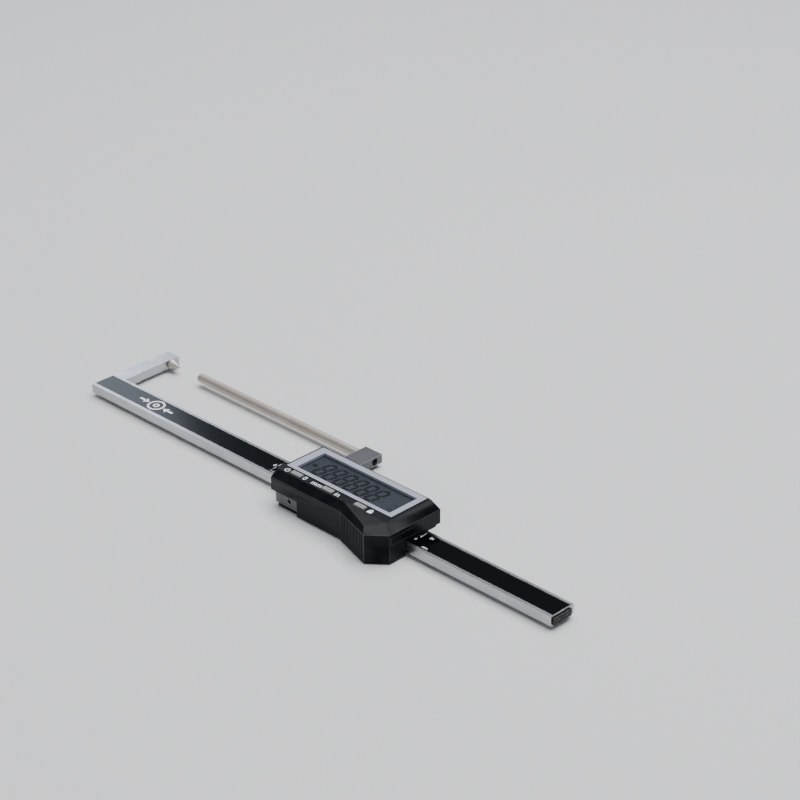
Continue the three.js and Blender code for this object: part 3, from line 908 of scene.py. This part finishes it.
@dataclass
class SliderSteel:
    """The slider's frame with its arm, the back plate, gib, rod and screws."""

    edge: float = 0.25
    tap_radius: float = 1.5
    tap_depth: float = 7.0

    def frame_and_plate(self) -> None:
        """Round and dress the frame and the plate under it."""
        place(softened("slider_frame", self.edge), "slider", "ground_steel", BELT_STEEL, "slider_frame")
        place(softened("back_plate", 0.2), "slider", "black_steel", BLACK_OXIDE, "back_plate")
        Wardrobe.dress_node("gib_strip", ROLLED_BRASS)
        Wardrobe.dress_node("lock_pad", ROLLED_BRASS)

    def rod(self) -> None:
        """Turn the long measuring rod with a chamfered tip and a tapped root."""
        low, high = corners("measuring_rod")
        length = high.x - low.x
        radius = (high.z - low.z) / 2
        chamfer = 0.4
        soft = 0.05
        profile = [
            (0, 0),
            (radius - chamfer - soft, 0),
            (radius - soft, chamfer),
            (radius, chamfer + 2 * soft),
            (radius, length - 2 * soft),
            (radius - 2 * soft, length),
            (self.tap_radius, length),
            (self.tap_radius, length - self.tap_depth),
            (0, length - self.tap_depth),
        ]
        where = pointing((1, 0, 0), (low.x, (low.y + high.y) / 2, (low.z + high.z) / 2))
        piece = finished("measuring_rod_turned", spun(profile, 96), where)
        place(piece, "slider", "rod_steel", DRAWN_STEEL, "measuring_rod")

    def screws(self) -> None:
        """Make every screw that the slider shows, each with its own drive."""
        rod_screw = Screw("rod_screw", (-1, 0, 0)).socket(1.6 / 18)
        place(rod_screw, "slider", "black_steel", BLACK_OXIDE, "rod_screw")
        for number in (1, 2):
            node = f"gib_screw_{number}"
            place(Screw(node, (0, 1, 0)).slot(0.98), "slider", "black_steel", BLACK_OXIDE, node)
        for number in range(1, 5):
            node = f"back_plate_screw_{number}"
            place(Screw(node, (0, 0, 1)).cross(0.17), "slider", "black_steel", BLACK_OXIDE, node)
        for number in range(1, 4):
            node = f"housing_screw_{number}"
            place(Screw(node, (0, 0, 1)).cross(0.09), "slider", "black_steel", BLACK_OXIDE, node)

    def build(self) -> None:
        """Build every steel piece of the slider."""
        self.frame_and_plate()
        self.rod()
        self.screws()


@dataclass
class Housing:
    """The black display housing with its grip, printed marks and silver bezel."""

    edge: float = 0.3
    fold_degrees: float = 4.0
    front_y: float = -19.0
    skirt_z: float = 1.2
    roof_z: float = 16.4
    ledge_y: float = -14.9
    slope_x: float = 35.4
    rib_pitch: float = 1.6
    rib_width: float = 0.7
    rib_proud: float = 0.4
    rib_top: float = 15.6
    grip_start: tuple[float, float] = (8.4, -19.8)
    grip_nose: tuple[float, float] = (32.5, -27.2)

    def outer(self, point: Vector) -> bool:
        """Say whether an edge lies on the housing's outside.

        Args:
            point: the edge's middle in millimetres.

        Returns:
            True where it does.
        """
        low, high = corners("upper_housing")
        margin = 0.02
        raised = point.z > self.roof_z
        front = point.y < self.front_y and point.z > self.skirt_z
        ends = point.x < low.x + margin or point.x > high.x - margin
        slopes = point.y < self.ledge_y or point.x > self.slope_x or point.y > high.y - margin
        return front or (raised and (slopes or ends))

    def shell(self) -> None:
        """Round the housing's outer edges and rule the grip ribs on its bulge."""
        piece = softened("upper_housing", self.edge, self.outer, degrees=self.fold_degrees)
        place(piece, "slider", "black_abs", BLACK_ABS, "upper_housing")
        place(softened("grip_base", 0.15), "slider", "black_abs", BLACK_ABS, "grip_base")
        start = Vector((*self.grip_start, 0))
        run = Vector((*self.grip_nose, 0)) - start
        direction = run.normalized()
        count = int(run.length * 0.94 / self.rib_pitch)
        low, _ = corners("upper_housing")
        ribs = bmesh.new()
        bottom = low.z + 0.8
        size = (self.rib_width, self.rib_proud * 2, self.rib_top - bottom)
        angle = math.atan2(run.y, run.x)
        for step in range(1, count + 1):
            spot = start + direction * (step * self.rib_pitch)
            rib = block(size, (0, 0, (self.rib_top + bottom) / 2))
            bevelled(rib, rib.edges, 0.16, 2)
            absorb(ribs, rib, Matrix.Translation(spot) @ Matrix.Rotation(angle, 4, "Z"))
        place(finished("grip_ribs", ribs), "slider", "black_abs", BLACK_ABS)

    def marks(self) -> None:
        """Print the key marks on the strip in front of the display."""
        _, high = corners("upper_housing")
        ink = Ink(high.z)
        row = (corners("button_unit")[0].y + corners("button_unit")[1].y) / 2
        power = -36.6
        line = 0.4
        ink.arc(power, row - 0.1, 1.35, line, 125, 290)
        ink.bar(power, row + 0.8, line, 1.7)
        ink.text("0", -24.0, row, 3.2)
        ink.text("mm", -15.3, row, 3.4)
        ink.text("in", -0.7, row, 3.4)
        lock = 22.6
        ink.bar(lock, row - 0.6, 2.8, 2.0)
        ink.arc(lock, row + 0.4, 0.95, 0.45, 0, 180)
        place(ink.piece("key_marks"), "slider", "key_rubber", WHITE_INK)

    def bezel(self) -> None:
        """Round the bezel's edges as its mould does."""
        place(softened("display_bezel", 0.14), "slider", "silver_plastic", SILVER_LACQUER, "display_bezel")

    def build(self) -> None:
        """Build the housing and what is printed on it."""
        self.shell()
        self.marks()
        self.bezel()


@dataclass
class Display:
    """The LCD under its window, with its segments unlit, and the electronics under it."""

    digit_height: float = 12.2
    digit_width: float = 4.7
    stroke: float = 1.7
    pitch: float = 7.5
    slant: float = 0.2
    digits: int = 6
    foot_inset: float = 3.4
    digit_inset: float = 6.5
    sign_inset: float = 3.4
    unit_inset: float = 4.0

    def segment(
        self, ink: Ink, centre: tuple[float, float], length: float, upright: bool, foot: float
    ) -> None:
        """Add one segment with pointed ends, leaning by the slant.

        Args:
            ink: the print that takes it.
            centre: its middle before leaning.
            length: its length.
            upright: True where it stands, False where it lies.
            foot: the height that the lean is counted from.
        """
        half = length / 2 - 0.12
        side = self.stroke / 2
        flat = [(-half, 0), (side - half, -side), (half - side, -side), (half, 0), (half - side, side)]
        flat.append((side - half, side))
        if upright:
            flat = [(-y, x) for x, y in flat]
        points = [(centre[0] + x, centre[1] + y) for x, y in flat]
        ink.outline([(x + self.slant * (y - foot), y) for x, y in points])

    def digit(self, ink: Ink, x: float, foot: float) -> None:
        """Add the seven segments of one digit.

        Args:
            ink: the print that takes them.
            x: its left side before leaning.
            foot: its lowest level.
        """
        right = x + self.digit_width
        half = self.digit_height / 2
        middle = (x + right) / 2
        for level in (0, 1, 2):
            self.segment(ink, (middle, foot + level * half), self.digit_width, False, foot)
        for level in (0.5, 1.5):
            self.segment(ink, (x, foot + level * half), half, True, foot)
            self.segment(ink, (right, foot + level * half), half, True, foot)

    def glass(self) -> None:
        """Dress the window and the LCD, and print its unlit segments."""
        place(softened("lcd_panel", 0.08, segments=2), "slider", "lcd_glass", LCD_GLASS, "lcd_panel")
        lens = softened("display_lens", 0.08, segments=2)
        place(lens, "slider", "clear_acrylic", CLEAR_ACRYLIC, "display_lens")
        low, high = corners("lcd_panel")
        ink = Ink(high.z)
        foot = low.y + self.foot_inset
        left = low.x + self.digit_inset
        for number in range(self.digits):
            self.digit(ink, left + number * self.pitch, foot)
        ink.bar(low.x + self.sign_inset, foot + self.digit_height / 2, 3.0, self.stroke)
        for words, rise in (("mm", 1.2), ("in", 5.2)):
            ink.text(words, high.x - self.unit_inset, foot + rise, 2.0)
        place(ink.piece("lcd_segments"), "slider", "lcd_glass", LCD_INK)

    def electronics(self) -> None:
        """Dress the board, its chip, contacts, domes and rubber connectors."""
        Wardrobe.dress_node("circuit_board", SOLDER_MASK)
        Wardrobe.dress_node("controller_chip", CHIP_EPOXY)
        for side in ("front", "back"):
            Wardrobe.dress_node(f"zebra_strip_{side}", DARK_RUBBER)
        for pole in ("pos", "neg"):
            Wardrobe.dress_node(f"battery_contact_{pole}", ROLLED_BRASS)
        for number in (1, 2, 3):
            Wardrobe.dress_node(f"button_dome_{number}", CELL_STEEL)

    def build(self) -> None:
        """Build the display."""
        self.glass()
        self.electronics()


@dataclass
class MovingPieces:
    """The keys, the battery drawer with its cell, and the knurled lock screw."""

    key_edge: float = 0.45
    key_root_z: float = 17.5
    nail_groove: tuple[float, float, float] = (1.0, 9.0, 0.9)
    knurls: int = 36
    knurl_depth: float = 0.3
    head_start: float = 16.9
    lock_shank: float = 1.5

    def keys(self) -> None:
        """Round each rubber key."""
        for node in ("button_power", "button_unit", "button_hold"):
            key = softened(node, self.key_edge, lambda point: point.z > self.key_root_z)
            place(key, node, "key_rubber", KEY_RUBBER, node)

    def drawer(self) -> None:
        """Round the drawer, cut its fingernail groove and give the cell its rolled rim."""
        low, high = corners("battery_drawer")
        piece = softened("battery_drawer", 0.2, lambda point: point.x > high.x - 1)
        centre = (high.x, (low.y + high.y) / 2, (low.z + high.z) / 2)
        piece = carved(piece, block(self.nail_groove, centre))
        place(piece, "battery_drawer", "black_abs", BLACK_ABS, "battery_drawer")
        low, high = corners("battery_cell")
        radius = (high.x - low.x) / 2
        height = high.z - low.z
        profile = [
            (0, 0),
            (radius - 1.6, 0),
            (radius - 1.4, 0.3),
            (radius - 0.5, 0.3),
            (radius - 0.1, 0.7),
            (radius, 1.1),
            (radius, height - 0.4),
            (radius - 0.4, height),
            (0, height),
        ]
        centre = ((low.x + high.x) / 2, (low.y + high.y) / 2, low.z)
        cell = finished("battery_cell_can", spun(profile), Matrix.Translation(centre))
        place(cell, "battery_drawer", "cell_steel", CELL_STEEL, "battery_cell")

    def lock(self) -> None:
        """Make the lock screw: a straight-knurled head and a plain shank."""
        low, high = corners("lock_screw")
        radius = (high.x - low.x) / 2
        thickness = high.y - self.head_start
        head = bmesh.new()
        made = bmesh.ops.create_circle(head, cap_ends=True, radius=radius, segments=self.knurls * 4)
        for index, vertex in enumerate(made["verts"]):
            if index % 4 in (0, 1):
                vertex.co *= 1 - self.knurl_depth / radius
        raised = bmesh.ops.extrude_face_region(head, geom=list(head.faces), use_keep_orig=True)
        top = [v for v in raised["geom"] if isinstance(v, bmesh.types.BMVert)]
        bmesh.ops.translate(head, vec=(0, 0, thickness), verts=top)
        bmesh.ops.recalc_face_normals(head, faces=head.faces)
        rims = [e for e in sharp_edges(head, 60) if abs(e.verts[0].co.z - e.verts[1].co.z) < 1e-4]
        bevelled(head, rims, 0.25, 2)
        below = self.head_start - low.y
        reach = below + 0.05  # the shank ends just inside the head
        shank = spun([(0, 0), (self.lock_shank, 0), (self.lock_shank, reach), (0, reach)], 48)
        absorb(head, shank, Matrix.Translation((0, 0, -below)))
        where = pointing((0, 1, 0), ((low.x + high.x) / 2, self.head_start, (low.z + high.z) / 2))
        piece = finished("lock_screw_knurled", head, where)
        place(piece, "lock_screw", "polished_steel", NICKEL_PLATE, "lock_screw")

    def build(self) -> None:
        """Build the pieces that have joints of their own on the slider."""
        self.keys()
        self.drawer()
        self.lock()


# ---- Studio -------------------------------------------------------------------------------------


@dataclass
class Studio:
    """A pale table, soft lights and a long lens from the front right."""

    eye: tuple[float, float, float] = (0.7341, -0.7055, 0.6064)
    right: tuple[float, float, float] = (0.71078, 0.70338, -0.00685)
    up: tuple[float, float, float] = (-0.32477, 0.33679, 0.88380)
    lens: float = 106.48
    sensor: float = 36.0
    table: float = 6.0
    air: float = 0.16

    def camera(self) -> None:
        """Set up the camera."""
        data = bpy.data.cameras.new("studio_camera")
        data.lens = self.lens
        data.sensor_width = self.sensor
        data.clip_start = 0.05
        camera = bpy.data.objects.new("studio_camera", data)
        right = Vector(self.right)
        up = Vector(self.up)
        back = right.cross(up)
        turn = Matrix((right, up, back)).transposed().to_4x4()
        camera.matrix_world = Matrix.Translation(self.eye) @ turn
        bpy.context.scene.collection.objects.link(camera)
        bpy.context.scene.camera = camera

    def floor(self) -> None:
        """Lay the table under the back plate."""
        mesh_data = bmesh.new()
        bmesh.ops.create_grid(mesh_data, x_segments=1, y_segments=1, size=self.table / 2 / MM)
        floor = finished("studio_table", mesh_data)
        Wardrobe.dress(floor, STUDIO_FLOOR)

    def panel(
        self,
        name: str,
        place_at: Sequence[float],
        size: tuple[float, float],
        power: float,
        colour: tuple[float, float, float] = (1.0, 1.0, 1.0),
    ) -> None:
        """Hang a soft light panel that faces the caliper.

        Args:
            name: the light's name.
            place_at: where it hangs, in metres.
            size: its width and height in metres.
            power: its power in watts.
            colour: its linear colour.
        """
        light = bpy.data.lights.new(name, "AREA")
        light.shape = "RECTANGLE"
        light.size, light.size_y = size
        light.energy = power
        light.color = colour
        holder = bpy.data.objects.new(name, light)
        aim = Vector((0, 0, 0)) - Vector(place_at)
        holder.matrix_world = Matrix.Translation(place_at) @ aim.to_track_quat("-Z", "Y").to_matrix().to_4x4()
        bpy.context.scene.collection.objects.link(holder)

    def lights(self) -> None:
        """Light it softly from above, with dimmer panels behind the jaw end and in front."""
        world = bpy.data.worlds.new("studio_air")
        world.use_nodes = True
        air = world.node_tree.nodes["Background"]
        air.inputs["Color"].default_value = (0.9, 0.94, 1.0, 1.0)
        air.inputs["Strength"].default_value = self.air
        bpy.context.scene.world = world
        self.panel("overhead_panel", (0.2, 0.3, 1.8), (1.6, 1.6), 52)
        self.panel("jaw_side_panel", (-2.3, 1.42, 1.2), (0.5, 1.3), 7.5, (0.78, 0.87, 1.0))
        self.panel("high_back_panel", (-0.8, 0.9, 1.5), (0.8, 0.6), 6)
        self.panel("front_fill_panel", (0.3, -1.6, 1.1), (1.2, 0.8), 4)

    def build(self) -> None:
        """Set up the camera, the table and the lights."""
        self.camera()
        self.floor()
        self.lights()


def main() -> None:
    """Build every sub-assembly in order and report each one."""
    assemblies = (Studio(), Beam(), SliderSteel(), Housing(), Display(), MovingPieces())
    for assembly in assemblies:
        assembly.build()
        LOG.info("built %s", type(assembly).__name__)


if __name__ == "__main__":
    logging.basicConfig(level=logging.INFO, format="%(name)s: %(message)s")
    main()
